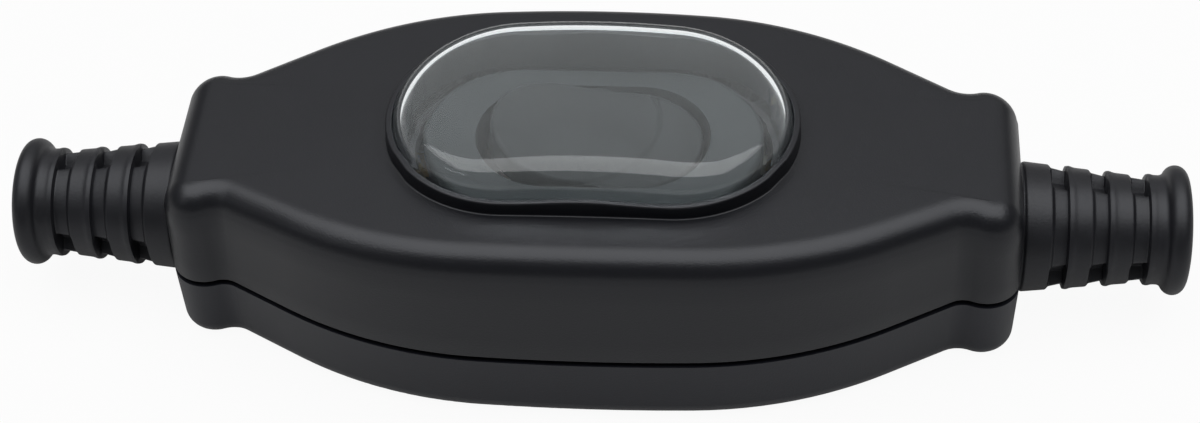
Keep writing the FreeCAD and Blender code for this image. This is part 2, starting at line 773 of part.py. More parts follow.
def make_outer_terminal(side):
    """Fixed contact under the bridge's right end, with its strip to the right-hand cage."""
    y = side * pole_offset
    start = contact_at - strip_width / 2
    strip = box(start, cage_x - cage_length / 2, y - strip_width / 2, y + strip_width / 2,
                strip_floor, strip_top)
    turn = math.radians(rocker_tilt)
    lowest = bridge_pivot_height - (contact_at + contact_radius) * math.sin(turn) - contact_height
    pad = rod(contact_radius, lowest - contact_air - strip_top, (contact_at, y, strip_top))
    return union([strip, pad, terminal_cage(side, 1)])


def make_bridge(side):
    """See-saw strip with a contact rivet under its right end; its left end is down at rest."""
    y = side * pole_offset
    strip = box(-bridge_half_length, bridge_half_length, y - bridge_width / 2, y + bridge_width / 2,
                bridge_pivot_height, bridge_pivot_height + bridge_thickness)
    strip = strip.makeFillet(bridge_corner_radius, upright_edges(strip))
    rivet = rod(contact_radius, contact_height, (contact_at, y, bridge_pivot_height - contact_height))
    bridge = strip.fuse(rivet).removeSplitter()
    return bridge.rotate(Vector(0, 0, bridge_pivot_height), axis_y, -rocker_tilt)


def make_terminal_screws():
    top = strip_floor + cage_height
    return [screw(terminal_screw_radius, terminal_screw_length, terminal_screw_head, terminal_screw_head_height,
                  (sx * cage_x, sy * pole_offset, top), -1) for sx, sy in corners]


def make_earth_terminal():
    """Brass bar with a wire hole right through and two threaded holes."""
    bar = box(-earth_length / 2, earth_length / 2, earth_at - earth_width / 2, earth_at + earth_width / 2,
              earth_seat, earth_seat + earth_height)
    bar = bar.makeChamfer(cage_chamfer, upright_edges(bar))
    hole_z = earth_seat + wire_hole_height
    bar = bar.cut(rod(wire_hole_radius, earth_length, (-earth_length / 2, earth_at, hole_z), axis_x))
    for sx in (-1, 1):
        start = (sx * earth_screw_at, earth_at, hole_z)
        bar = bar.cut(rod(terminal_screw_radius + thread_clearance, earth_height, start))
    return bar


def make_earth_screws():
    top = earth_seat + earth_height
    return [screw(terminal_screw_radius, terminal_screw_length, terminal_screw_head, terminal_screw_head_height,
                  (sx * earth_screw_at, earth_at, top), -1) for sx in (-1, 1)]


def make_cord_clamp():
    """Arched bar over the cable, on the right-hand posts."""
    low = base_top
    feet = box(clamp_at - clamp_width / 2, clamp_at + clamp_width / 2, -clamp_half_span, clamp_half_span,
               low, low + clamp_bar)
    feet = feet.makeFillet(clamp_bar_corner, upright_edges(feet))
    arch = cable_way(cable_radius + clamp_arch, clamp_at - clamp_width / 2, clamp_at + clamp_width / 2)
    arch = arch.common(box(0, housing_length, -housing_width, housing_width, low, housing_height))
    bar = union([feet, arch])
    bar = bar.cut(cable_way(cable_radius, clamp_at - clamp_width, clamp_at + clamp_width))
    for sy in (-1, 1):
        start = (clamp_at, sy * clamp_bolt_offset, low - past)
        bar = bar.cut(rod(clamp_bolt_radius + shank_clearance, housing_height, start))
    return bar


def make_clamp_bolts():
    return [screw(clamp_bolt_radius, clamp_bolt_length, clamp_bolt_head, clamp_bolt_head_height,
                  (sx * clamp_at, sy * clamp_bolt_offset, base_top + clamp_bar), -1) for sx, sy in corners]


def boot_outside(x):
    """Radius of the boot's bands at a distance outside the housing."""
    return boot_radius + (boot_end_radius - boot_radius) * min(x / boot_taper_length, 1.0)


def make_boot():
    """Right-hand cable boot: collar inside the end wall, tapered banded sleeve, rounded flange."""
    seat = half_length - wall - boot_collar_gap
    tail = seat - boot_collar_thickness - boot_tail_length
    tip = half_length + boot_length
    taper_end = half_length + boot_taper_length
    bead_x = tip - boot_bead_radius
    bead_r = boot_flange_radius - boot_bead_radius
    # The neck meets the bead's round below its widest place.
    neck_angle = math.asin((boot_end_radius - bead_r) / boot_bead_radius)
    neck = bead_x - boot_bead_radius * math.cos(neck_angle)

    def at(x, r):
        return Vector(x, 0, cable_height + r)

    edges = [
        Part.LineSegment(at(tail, cable_radius), at(tail, boot_tail_radius)),
        Part.LineSegment(at(tail, boot_tail_radius), at(seat - boot_collar_thickness, boot_tail_radius)),
        Part.LineSegment(at(seat - boot_collar_thickness, boot_tail_radius),
                         at(seat - boot_collar_thickness, boot_collar_radius)),
        Part.LineSegment(at(seat - boot_collar_thickness, boot_collar_radius), at(seat, boot_collar_radius)),
        Part.LineSegment(at(seat, boot_collar_radius), at(seat, boot_radius)),
        Part.LineSegment(at(seat, boot_radius), at(half_length, boot_radius)),
        Part.LineSegment(at(half_length, boot_radius), at(taper_end, boot_end_radius)),
        Part.LineSegment(at(taper_end, boot_end_radius), at(neck, boot_end_radius)),
        Part.Arc(at(neck, boot_end_radius), at(bead_x, boot_flange_radius), at(tip, bead_r)),
        Part.LineSegment(at(tip, bead_r), at(tip - boot_mouth_depth, cable_radius)),
        Part.LineSegment(at(tip - boot_mouth_depth, cable_radius), at(tail, cable_radius)),
    ]
    profile = Part.Face(Part.Wire([edge.toShape() for edge in edges]))
    boot = profile.revolve(Vector(0, 0, cable_height), axis_x, 360)
    for index in range(boot_groove_count):
        middle = boot_first_groove + index * boot_band_pitch
        start = half_length + middle - boot_groove_width / 2
        outside = boot_radius + past
        floor_radius = boot_outside(middle) - boot_groove_depth
        end = start + boot_groove_width
        groove = cable_way(outside, start, end)
        boot = boot.cut(groove.cut(cable_way(floor_radius, start - past, end + past)))
        deep = groove.cut(cable_way(cable_radius + boot_pocket_floor, start - past, end + past))
        for turn in range(boot_pocket_count):
            centre = boot_pocket_first + turn * 360 / boot_pocket_count
            half = math.radians(boot_pocket_angle / 2)
            tip_y = 2 * outside * math.sin(half)
            tip_z = cable_height + 2 * outside * math.cos(half)
            wedge = Part.makePolygon([
                Vector(start, 0, cable_height), Vector(start, -tip_y, tip_z), Vector(start, tip_y, tip_z),
                Vector(start, 0, cable_height),
            ])
            wedge = Part.Face(wedge).extrude(Vector(boot_groove_width, 0, 0))
            wedge = wedge.rotate(Vector(0, 0, cable_height), axis_x, 90 - centre)
            boot = boot.cut(deep.common(wedge))
    return boot


def export(name, shape):
    """One STEP file for a node; a list of like pieces is kept as separate solids."""
    solids = shape if isinstance(shape, list) else [shape]
    solids = [solid for piece in solids for solid in piece.Solids]
    result = solids[0] if len(solids) == 1 else Part.makeCompound(solids)
    result.exportStep("parts/" + name + ".step")


def main():
    os.makedirs("parts", exist_ok=True)
    seal_front, seal_rear = make_seals()
    boot = make_boot()
    clamp = make_cord_clamp()
    export("base_shell", make_base())
    export("cover_shell", make_cover())
    export("membrane_cap", make_cap())
    export("cap_clamp_frame", make_clamp_frame())
    export("cap_clamp_screws", make_clamp_screws())
    export("seal_front", seal_front)
    export("seal_rear", seal_rear)
    export("housing_screws", make_housing_screws())
    export("rocker", make_rocker())
    export("rocker_frame", make_rocker_frame())
    export("contact_block", make_contact_block())
    export("switch_body_screws", make_body_screws())
    for name, side in (("front", -1), ("rear", 1)):
        export("plunger_" + name, make_plunger(side))
        export("plunger_spring_" + name, make_spring(side))
        export("contact_bridge_" + name, make_bridge(side))
        export("centre_terminal_" + name, make_centre_terminal(side))
        export("outer_terminal_" + name, make_outer_terminal(side))
    export("terminal_screws", make_terminal_screws())
    export("earth_terminal", make_earth_terminal())
    export("earth_screws", make_earth_screws())
    export("cord_clamp_right", clamp)
    export("cord_clamp_left", mirror_x(clamp))
    export("cord_clamp_screws", make_clamp_bolts())
    export("cable_boot_right", boot)
    export("cable_boot_left", mirror_x(boot))


main()
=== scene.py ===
import math

import bmesh
import bpy
import numpy as np
from bpy.props import FloatProperty, FloatVectorProperty, IntProperty, PointerProperty
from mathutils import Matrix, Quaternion, Vector


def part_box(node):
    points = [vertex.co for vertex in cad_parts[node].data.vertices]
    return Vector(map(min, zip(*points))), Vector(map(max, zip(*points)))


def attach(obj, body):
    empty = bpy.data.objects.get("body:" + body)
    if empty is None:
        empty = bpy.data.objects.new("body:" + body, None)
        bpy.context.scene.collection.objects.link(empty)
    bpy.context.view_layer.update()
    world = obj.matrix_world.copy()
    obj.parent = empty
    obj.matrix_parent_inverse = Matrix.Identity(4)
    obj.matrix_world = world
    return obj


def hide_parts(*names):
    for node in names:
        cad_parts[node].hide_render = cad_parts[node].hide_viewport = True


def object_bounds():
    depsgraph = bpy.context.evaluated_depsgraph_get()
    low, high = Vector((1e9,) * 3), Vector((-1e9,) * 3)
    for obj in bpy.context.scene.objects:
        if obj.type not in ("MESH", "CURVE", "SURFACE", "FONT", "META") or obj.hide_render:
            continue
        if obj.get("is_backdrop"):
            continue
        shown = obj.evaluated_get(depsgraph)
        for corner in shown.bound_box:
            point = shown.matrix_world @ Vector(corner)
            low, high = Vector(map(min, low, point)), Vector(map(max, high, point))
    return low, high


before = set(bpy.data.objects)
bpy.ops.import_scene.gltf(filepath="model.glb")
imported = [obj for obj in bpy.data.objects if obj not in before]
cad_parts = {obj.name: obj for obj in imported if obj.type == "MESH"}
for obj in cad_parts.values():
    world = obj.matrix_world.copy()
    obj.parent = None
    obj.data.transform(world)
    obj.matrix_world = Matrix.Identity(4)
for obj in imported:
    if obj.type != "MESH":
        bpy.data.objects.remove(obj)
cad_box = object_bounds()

bl_info = {
    "name": "Inline cord switch",
    "version": (1, 0, 0),
    "blender": (4, 5, 0),
    "location": "View3D > Sidebar > Cord switch",
    "description": "Models the cover, boots and cap of a cord switch, paints the rest and sets its studio",
    "category": "Object",
}

MM = 0.001
SIDES = ("front", "rear")

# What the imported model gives: each node's lowest and highest corner at rest
COVER_LOW, COVER_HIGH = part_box("cover_shell")
BOOT_LOW, BOOT_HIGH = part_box("cable_boot_right")
CAP_LOW, CAP_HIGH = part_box("membrane_cap")
HALF_LENGTH = COVER_HIGH[0]
HALF_WIDTH = COVER_HIGH[1]
CABLE_HEIGHT = (BOOT_LOW[2] + BOOT_HIGH[2]) / 2
TIP = BOOT_HIGH[0]

# Sizes shared by the pieces, as the shells' mould has them
WAIST = 11.45 * MM
EAR_STEP = 0.5 * MM
END_CORNER = 4.0 * MM
WAIST_ARC = 2.6 * MM
BELLY_ARC = 258.0 * MM
BELLY_HALF_SPAN = 12.3 * MM
SHOULDER_FULLNESS = 0.936
ROOF_TOP = 25.2 * MM
CROWN_ARC = 470.0 * MM
WALL = 2.4 * MM
ROOF = 2.3 * MM
COLLAR_STRAIGHT = 9.2 * MM
COLLAR_RADIUS = 14.6 * MM
COLLAR_LIP = 0.8 * MM
CAP_RADIUS = 13.7 * MM
CAP_WALL = 0.8 * MM
CAP_DOME = 95.0 * MM
CAP_FLANGE_RADIUS = 15.4 * MM
CAP_FLANGE_TOP = 21.9 * MM
CAP_SEAT_RIM = 1.0 * MM
CAP_SEAT = CAP_FLANGE_TOP + 0.02 * MM

# Sizes of the boots that nobody would change by taste
BORE_RADIUS = 4.3 * MM
BOOT_HOLE = 7.6 * MM
BOOT_SEAT = HALF_LENGTH - WALL - 0.3 * MM
BOOT_DISC = 1.9 * MM
TAIL_RADIUS = 6.0 * MM
TAPER_LENGTH = 12.6 * MM
SLEEVE_END = TIP - 2.9 * MM
NECK_HOLLOW = 0.8 * MM
# A turn of 0 points at -Y and a quarter turn at +Z; one pocket lies just behind the top
FIRST_POCKET = math.radians(105.0)

# The rocker's raised paddle: the middle of its round edge, and half that edge's width
PADDLE_X, PADDLE_Y = -3.5 * MM, 3.0 * MM
PADDLE_SOFT = 0.5 * MM

# Sheen: how strongly a surface mirrors, and its tint
BLACK_SHEEN = 0.44
INNER_SHEEN = 0.12
COOL_TINT = (0.93, 0.95, 1.0)

# Studio
FLOOR_HALF = 1.5
# A hair below the base's flat underside, so that the two never lie in one plane
FLOOR_HEIGHT = -0.05 * MM
FLOOR_COLOUR = (0.55, 0.55, 0.55)
WORLD_LEVEL = 0.1
SEEN_RAYS = ("Is Camera Ray", "Is Glossy Ray", "Is Transmission Ray")
CAMERA_TARGET = Vector((0.404, 0.0, 11.372)) * MM
# Name, place, target, width and depth, watts
LAMPS = (
    ("overhead", (0.02, 0.02, 0.6), (0.02, 0.02, 0.0), (1.2, 0.66), 6.3),
    ("back", (0.1, 0.95, 0.75), (0.0, 0.0, 0.01), (1.8, 1.0), 2.1),
    ("left", (-0.58, -0.36, 0.42), (0.0, 0.0, 0.01), (0.26, 0.02), 0.11),
)


class HousingLook(bpy.types.PropertyGroup):
    colour: FloatVectorProperty(
        name="Colour", description="Moulded plastic of the cover", subtype="COLOR",
        size=3, min=0, max=1, default=(0.0045, 0.0048, 0.0066))
    # Painted light: the base's plastic is a lighter copy of the cover's, standing in for the brighter light
    # on the base
    base_painted_light: FloatProperty(
        name="Base painted light", description="Colour of the base as a multiple of the cover's",
        default=2.2, min=0.1, max=10.0)
    grain: FloatProperty(
        name="Grain", description="Width of one grain of the matt texture", unit="LENGTH",
        default=0.00022, min=0.00005, max=0.002)
    grain_depth: FloatProperty(
        name="Grain depth", description="Height of the matt texture", unit="LENGTH",
        default=0.00002, min=0.0, max=0.0002)
    roughness: FloatProperty(
        name="Roughness", description="Mean roughness of the shells", subtype="FACTOR",
        default=0.34, min=0.0, max=1.0)
    top_edge: FloatProperty(
        name="Top edge", description="Rounding between the walls and the roof", unit="LENGTH",
        default=3.2 * MM, min=0.5 * MM, max=3.6 * MM)
    draft: FloatProperty(
        name="Draft", description="Lean of the cover's walls over their height", unit="LENGTH",
        default=0.35 * MM, min=0.0, max=1.0 * MM)
    gap: FloatProperty(
        name="Wider gap", description="Added to the parting gap under the cover", unit="LENGTH",
        default=0.2 * MM, min=0.0, max=0.5 * MM)
    lip: FloatProperty(
        name="Lower lip", description="Rounding of the cover's lower edge", unit="LENGTH",
        default=0.25 * MM, min=0.05 * MM, max=0.5 * MM)
    collar_height: FloatProperty(
        name="Collar height", description="Window collar above the middle of the roof", unit="LENGTH",
        default=1.6 * MM, min=0.5 * MM, max=3.0 * MM)
    collar_rise: FloatProperty(
        name="Collar rise", description="Hump in the middle of the collar's long sides", unit="LENGTH",
        default=0.5 * MM, min=0.0, max=1.5 * MM)
    collar_rise_span: FloatProperty(
        name="Rise half length", description="Half length of that hump", unit="LENGTH",
        default=9.5 * MM, min=2.0 * MM, max=20.0 * MM)
    collar_root: FloatProperty(
        name="Collar root", description="Hollow rounding between the roof and the collar", unit="LENGTH",
        default=0.2 * MM, min=0.1 * MM, max=2.0 * MM)


class BootLook(bpy.types.PropertyGroup):
    colour: FloatVectorProperty(
        name="Colour", description="Rubber of the cable boots", subtype="COLOR",
        size=3, min=0, max=1, default=(0.0055, 0.0056, 0.0074))
    root_radius: FloatProperty(
        name="Root radius", description="Radius at the housing", unit="LENGTH",
        default=7.7 * MM)
    neck_radius: FloatProperty(
        name="Neck radius", description="Radius before the flange", unit="LENGTH", default=6.4 * MM)
    flange_radius: FloatProperty(
        name="Flange radius", description="Largest radius of the flange", unit="LENGTH", default=7.6 * MM)
    bead: FloatProperty(
        name="Flange bead", description="Rounding of the flange's rim", unit="LENGTH", default=1.35 * MM)
    first_groove: FloatProperty(
        name="First groove", description="Middle of the first groove, from the housing", unit="LENGTH",
        default=4.45 * MM)
    pitch: FloatProperty(
        name="Groove pitch", description="From one groove to the next", unit="LENGTH", default=4.65 * MM)
    groove_width: FloatProperty(
        name="Groove width", description="Width of each groove", unit="LENGTH", default=1.9 * MM)
    groove_depth: FloatProperty(
        name="Groove depth", description="Depth at a web's outer edge", unit="LENGTH", default=0.6 * MM)
    grooves: IntProperty(name="Grooves", description="Number of grooves on a boot", default=3, min=1, max=6)
    pockets: IntProperty(
        name="Pockets", description="Deep pockets round each groove", default=3, min=1, max=6)
    pocket_angle: FloatProperty(
        name="Pocket angle", description="Share of the turn that one pocket takes", subtype="ANGLE",
        default=math.radians(32.0))
    pocket_depth: FloatProperty(
        name="Pocket depth", description="Depth of the pockets", unit="LENGTH", default=2.0 * MM)


class CapLook(bpy.types.PropertyGroup):
    tint: FloatVectorProperty(
        name="Tint", description="Colour of light that passes the clear cap", subtype="COLOR",
        size=3, min=0, max=1, default=(0.90, 0.93, 0.94))
    haze: FloatProperty(
        name="Haze", description="Share of light that the milky plastic scatters", subtype="FACTOR",
        default=0.015, min=0.0, max=1.0)
    roughness: FloatProperty(
        name="Roughness", description="Roughness of the clear plastic, doubled where it is smudged",
        subtype="FACTOR", default=0.02, min=0.0, max=1.0)
    index: FloatProperty(
        name="Index of refraction", description="How far the clear plastic bends light",
        default=1.38, min=1.0, max=2.0)
    shoulder: FloatProperty(
        name="Shoulder", description="Rounding between the cap's wall and its dome", unit="LENGTH",
        default=2.8 * MM, min=0.5 * MM, max=5.0 * MM)


class RockerLook(bpy.types.PropertyGroup):
    colour: FloatVectorProperty(
        name="Colour", description="Plastic of the rocker and its frame", subtype="COLOR",
        size=3, min=0, max=1, default=(0.009, 0.0105, 0.0112))
    paddle_radius: FloatProperty(
        name="Paddle radius", description="Radius of the raised paddle's round edge", unit="LENGTH",
        default=11.0 * MM)
    paddle_height: FloatProperty(
        name="Paddle height", description="Height of the paddle's edge above the rest of the key",
        unit="LENGTH", default=0.5 * MM)


class StudioLook(bpy.types.PropertyGroup):
    elevation: FloatProperty(
        name="Camera elevation", description="Angle of the view above the floor", subtype="ANGLE",
        default=math.radians(45.0), min=0.0, max=math.pi / 2)
    azimuth: FloatProperty(
        name="Camera azimuth", description="Angle of the view toward +X", subtype="ANGLE",
        default=math.radians(5.773), min=-math.pi, max=math.pi)
    roll: FloatProperty(
        name="Camera roll", description="Turn of the camera about its line of sight", subtype="ANGLE",
        default=math.radians(-2.619), min=-math.pi, max=math.pi)
    distance: FloatProperty(
        name="Camera distance", description="From the camera to its target", unit="LENGTH",
        default=0.300, min=0.05, max=5.0)
    focal: FloatProperty(
        name="Focal length", description="Lens for a 36 mm wide sensor, in millimetres",
        default=75.87, min=10.0, max=300.0)
    light: FloatProperty(
        name="Light", description="Strength of the lamps and the world together",
        default=1.0, min=0.0, max=10.0)


# Surfaces


def blend_step(value, low, high):
    """0 below low, 1 above high, and a smooth cubic step between."""
    share = np.clip((value - low) / (high - low), 0.0, 1.0)
    return share * share * (3.0 - 2.0 * share)


def stack(x, y, z):
    """Points from three arrays or numbers that spread to one shape."""
    return np.stack(np.broadcast_arrays(x, y, z), axis=-1)


def at_height(place, z):
    """Points in plan, lifted to a height."""
    return stack(place[:, 0], place[:, 1], z)


def surface(name, grid, closed_rows=False):
    """Mesh of a grid of points whose columns run all the way round.

    Each cell between two rows and two columns is one quad. The last column joins the first, and the last
    row joins the first where the section is closed. Rows that shrink to a line are merged.
    """
    rows, columns = grid.shape[:2]
    index = np.arange(rows * columns).reshape(rows, columns)
    lower = index if closed_rows else index[:-1]
    upper = np.roll(index, -1, axis=0) if closed_rows else index[1:]
    quads = np.stack([lower, np.roll(lower, -1, axis=1), np.roll(upper, -1, axis=1), upper], axis=-1)
    mesh = bpy.data.meshes.new(name)
    mesh.from_pydata(grid.reshape(-1, 3).tolist(), [], quads.reshape(-1, 4).tolist())
    return tidy_mesh(mesh)


def tidy_mesh(mesh):
    """Merges points that meet, drops cells without area and turns every face outwards."""
    work = bmesh.new()
    work.from_mesh(mesh)
    bmesh.ops.remove_doubles(work, verts=work.verts, dist=1e-7)
    bmesh.ops.dissolve_degenerate(work, edges=work.edges, dist=1e-8)
    bmesh.ops.recalc_face_normals(work, faces=work.faces)
    if work.calc_volume(signed=True) < 0:
        bmesh.ops.reverse_faces(work, faces=work.faces)
    work.to_mesh(mesh)
    work.free()
    mesh.update()
    return mesh


def add_piece(name, mesh, material, body, replaced, sharp=35.0):
    """Shows a finished mesh as a piece that rides on a body and takes the place of a CAD node."""
    mesh.polygons.foreach_set("use_smooth", np.ones(len(mesh.polygons), dtype=bool))
    mesh.set_sharp_from_angle(angle=math.radians(sharp))
    mesh.materials.append(material)
    piece = bpy.data.objects.new(name, mesh)
    bpy.context.scene.collection.objects.link(piece)
    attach(piece, body)
    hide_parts(replaced)


def arc(centre, radius, first, last, count):
    """Points of an arc and their directions; a direction is the normal, from +Y toward +X."""
    turn = np.linspace(first, last, count)
    normal = np.stack([np.sin(turn), np.cos(turn)], axis=-1)
    return np.asarray(centre) + radius * normal, normal


def all_round(points, normals):
    """A closed loop of points and normals from its first quarter, mirrored about both axes."""
    first = np.concatenate([points, normals], axis=1)
    second = first[-2::-1] * [-1, 1, -1, 1]
    third = first[1:] * [-1, -1, -1, -1]
    fourth = first[-2:0:-1] * [1, -1, 1, -1]
    loop = np.concatenate([first, second, third, fourth])
    return loop[:, :2], loop[:, 2:]


def plan_outline():
    """The housing's plan, anticlockwise from the +X end: points and outward normals.

    One quarter is the end face, an arc of the end block's corner, an arc of the waist, a straight run,
    the shoulder's arc and the belly's flat arc, each tangent to the next. The end face has closer
    columns toward the boot's hole, at the hole's radius times the sine of an even turn.
    """
    corner_turn = math.acos(1 - EAR_STEP / (WAIST_ARC + END_CORNER))
    corner = np.array([HALF_LENGTH - END_CORNER, WAIST + EAR_STEP - END_CORNER])
    waist = np.array([corner[0] - (END_CORNER + WAIST_ARC) * math.sin(corner_turn), WAIST + WAIST_ARC])
    belly_turn = math.asin(BELLY_HALF_SPAN / BELLY_ARC)
    belly = np.array([0.0, HALF_WIDTH - BELLY_ARC])
    normal = np.array([math.sin(belly_turn), math.cos(belly_turn)])
    reach = belly + BELLY_ARC * normal - waist
    largest = (reach @ reach - WAIST_ARC ** 2) / 2 / (reach @ normal + WAIST_ARC)
    shoulder_arc = SHOULDER_FULLNESS * largest
    shoulder = belly + (BELLY_ARC - shoulder_arc) * normal
    apart = waist - shoulder
    slope = math.atan2(apart[0], apart[1]) - math.acos((shoulder_arc + WAIST_ARC) / np.hypot(*apart))

    hole = BOOT_HOLE * np.sin(np.linspace(0.0, math.pi / 2, 16))
    face_y = np.concatenate([hole, [BOOT_HOLE + 1e-6, (BOOT_HOLE + corner[1]) / 2]])
    face = np.stack([np.full(len(face_y), HALF_LENGTH), face_y], axis=-1)
    runs = [
        (face, np.tile([1.0, 0.0], (len(face), 1))),
        arc(corner, END_CORNER, math.pi / 2, -corner_turn, 22),
        arc(waist, -WAIST_ARC, -corner_turn, slope, 14),
        arc(shoulder, shoulder_arc, slope, belly_turn, 34),
        arc(belly, BELLY_ARC, belly_turn, 0.0, 18),
    ]
    points = np.concatenate([runs[0][0], runs[1][0], runs[2][0][1:], runs[3][0], runs[4][0][1:]])
    normals = np.concatenate([runs[0][1], runs[1][1], runs[2][1][1:], runs[3][1], runs[4][1][1:]])
    return all_round(points, normals)


def roof_height(x):
    """The roof is part of a large cylinder along Y: it falls toward both ends."""
    return ROOF_TOP - CROWN_ARC + np.sqrt(CROWN_ARC ** 2 - x ** 2)


def obround_toward(points, radius):
    """Where the rays from the origin to the given points cross an obround of that radius."""
    x, y = points[:, 0], points[:, 1]
    side = radius / np.maximum(np.abs(y), 1e-9)
    along = np.abs(x) * COLLAR_STRAIGHT
    square = x ** 2 + y ** 2
    root = np.sqrt(np.maximum(along ** 2 - square * (COLLAR_STRAIGHT ** 2 - radius ** 2), 0.0))
    end = (along + root) / square
    share = np.where(np.abs(x) * side <= COLLAR_STRAIGHT, side, end)
    return points * share[:, None]


def obround_loop(radius):
    """An obround, anticlockwise from its +X tip: points and outward normals."""
    turn = np.linspace(0.0, math.pi / 2, 40)
    normal = np.stack([np.cos(turn), np.sin(turn)], axis=-1)
    run = np.linspace(COLLAR_STRAIGHT, 0.0, 10)[1:]
    side = np.stack([run, np.full(len(run), radius)], axis=-1)
    points = np.concatenate([radius * normal + [COLLAR_STRAIGHT, 0.0], side])
    normals = np.concatenate([normal, np.tile([0.0, 1.0], (len(run), 1))])
    return all_round(points, normals)


def cover_surface(look):
    """The upper shell as one closed section carried round the plan outline.

    From the lower lip the section climbs the leaning wall, turns by a quarter round onto the roof, runs in
    along rays to the window collar, climbs a hollow round and the collar's wall to its rounded lip, goes
    down inside the collar, out under the roof and back down the inner wall. At the ends the lower edge
    follows the boot's hole: the cable's height plus the root of hole radius squared less y squared.
    """
    points, normals = plan_outline()
    x, y = points.T
    parting = COVER_LOW[2] + look.gap
    at_end = (np.abs(x) > HALF_LENGTH - 1e-9) & (np.abs(y) <= BOOT_HOLE)
    arch = CABLE_HEIGHT + np.sqrt(np.maximum(BOOT_HOLE ** 2 - y ** 2, 0.0))
    low = np.where(at_end, arch, parting)
    rows = []

    def ring(inset, z):
        place = points - np.broadcast_to(inset, x.shape)[:, None] * normals
        rows.append(at_height(place, z))

    def between(outer, inner, shares, height):
        for share in shares:
            place = outer + (inner - outer) * share
            rows.append(at_height(place, height(place[:, 0])))

    for turn in np.linspace(0.0, math.pi / 2, 5):
        ring(look.lip * (1 - math.sin(turn)), low + look.lip * (1 - math.cos(turn)))
    edge = look.top_edge
    shoulder = points - (look.draft + edge) * normals
    edge_top = roof_height(x - look.draft * normals[:, 0])
    for share in np.linspace(0.25, 1.0, 4):
        z = (low + look.lip) * (1 - share) + (edge_top - edge) * share
        ring(look.draft * (z - parting) / (ROOF_TOP - parting), z)
    for turn in np.linspace(0.0, math.pi / 2, 12)[1:]:
        inset = look.draft + edge * (1 - math.cos(turn))
        along = x - inset * normals[:, 0]
        ring(inset, roof_height(along) - edge * (1 - math.sin(turn)))

    def collar(offset):
        return obround_toward(points, COLLAR_RADIUS + offset)

    root = look.collar_root
    between(shoulder, collar(root), np.linspace(0.0, 1.0, 25)[1:], roof_height)
    for turn in np.linspace(0.0, math.pi / 2, 8)[1:]:
        place = collar(root * (1 - math.sin(turn)))
        rows.append(at_height(place, roof_height(place[:, 0]) + root * (1 - math.cos(turn))))
    wall_line = collar(0.0)
    hump = np.cos(np.clip(wall_line[:, 0] / look.collar_rise_span, -1.0, 1.0) * math.pi / 2) ** 2
    top = ROOF_TOP + look.collar_height + look.collar_rise * hump
    lip_round = COLLAR_LIP * 0.3
    for turn in np.linspace(0.0, math.pi / 2, 6):
        place = collar(-lip_round * (1 - math.cos(turn)))
        rows.append(at_height(place, top - lip_round * (1 - math.sin(turn))))
    for turn in np.linspace(math.pi / 2, 0.0, 5):
        place = collar(-COLLAR_LIP + lip_round * (1 - math.cos(turn)))
        rows.append(at_height(place, top - lip_round * (1 - math.sin(turn))))
    rows += [at_height(collar(-COLLAR_LIP), z) for z in (ROOF_TOP, CAP_SEAT)]
    seat = obround_toward(points, CAP_FLANGE_RADIUS + CAP_SEAT_RIM)
    rows.append(at_height(seat, CAP_SEAT))
    inner_wall = points - (WALL + look.draft) * normals
    between(seat, inner_wall, (0.0, 0.5, 1.0), lambda along: roof_height(along) - ROOF)
    for share in (0.5, 1.0):
        z = (roof_height(inner_wall[:, 0]) - ROOF) * (1 - share) + low * share
        ring(WALL + look.draft * (z - parting) / (ROOF_TOP - parting), z)
    return surface("cover", np.array(rows), closed_rows=True)


def boot_profile(look):
    """Half section of a boot, closed: points (place along X, radius) from the bore's edge at the tail on.

    The tail is a plain tube, the collar behind the housing's wall a wider disc, and the sleeve outside a
    taper to the neck. The flange's rim is a half round, and the bore runs back to the tail.
    """
    tail = BOOT_LOW[0]
    disc = BOOT_SEAT - BOOT_DISC
    collar = BOOT_HIGH[2] - CABLE_HEIGHT
    corner = 0.25 * MM
    sleeve_x = np.arange(HALF_LENGTH, SLEEVE_END, 0.11 * MM)
    taper = np.clip((sleeve_x - HALF_LENGTH) / TAPER_LENGTH, 0.0, 1.0)
    sleeve_r = look.root_radius + (look.neck_radius - look.root_radius) * taper
    rim_x = TIP - look.bead
    rim_r = look.flange_radius - look.bead
    # The neck's hollow round meets the rim's round where both slope alike
    join = math.acos((look.neck_radius + NECK_HOLLOW - rim_r) / (look.bead + NECK_HOLLOW))
    centre = rim_x - (look.bead + NECK_HOLLOW) * math.sin(join)
    turn = np.linspace(0.0, join, 8)
    hollow_x = centre + NECK_HOLLOW * np.sin(turn)
    hollow_r = look.neck_radius + NECK_HOLLOW * (1 - np.cos(turn))
    rim_turn = np.linspace(join, -math.pi / 2 + 0.35, 16)[1:]
    bead_x = rim_x - look.bead * np.sin(rim_turn)
    bead_r = rim_r + look.bead * np.cos(rim_turn)
    lip_x = np.array([TIP, TIP, TIP - 0.25 * MM, TIP - 0.6 * MM])
    lip_r = np.array([rim_r + 0.1 * MM, BORE_RADIUS + 0.55 * MM, BORE_RADIUS + 0.2 * MM, BORE_RADIUS])
    start_x = np.array([tail, tail, disc, disc, disc + corner, BOOT_SEAT - corner, BOOT_SEAT, BOOT_SEAT])
    start_r = np.array([BORE_RADIUS, TAIL_RADIUS, TAIL_RADIUS, collar - corner, collar, collar,
                        collar - corner, BOOT_HOLE - 0.1 * MM])
    sleeve_end = sleeve_x < centre
    x = np.concatenate([start_x, sleeve_x[sleeve_end], hollow_x, bead_x, lip_x])
    r = np.concatenate([start_r, sleeve_r[sleeve_end], hollow_r, bead_r, lip_r])
    return x, r


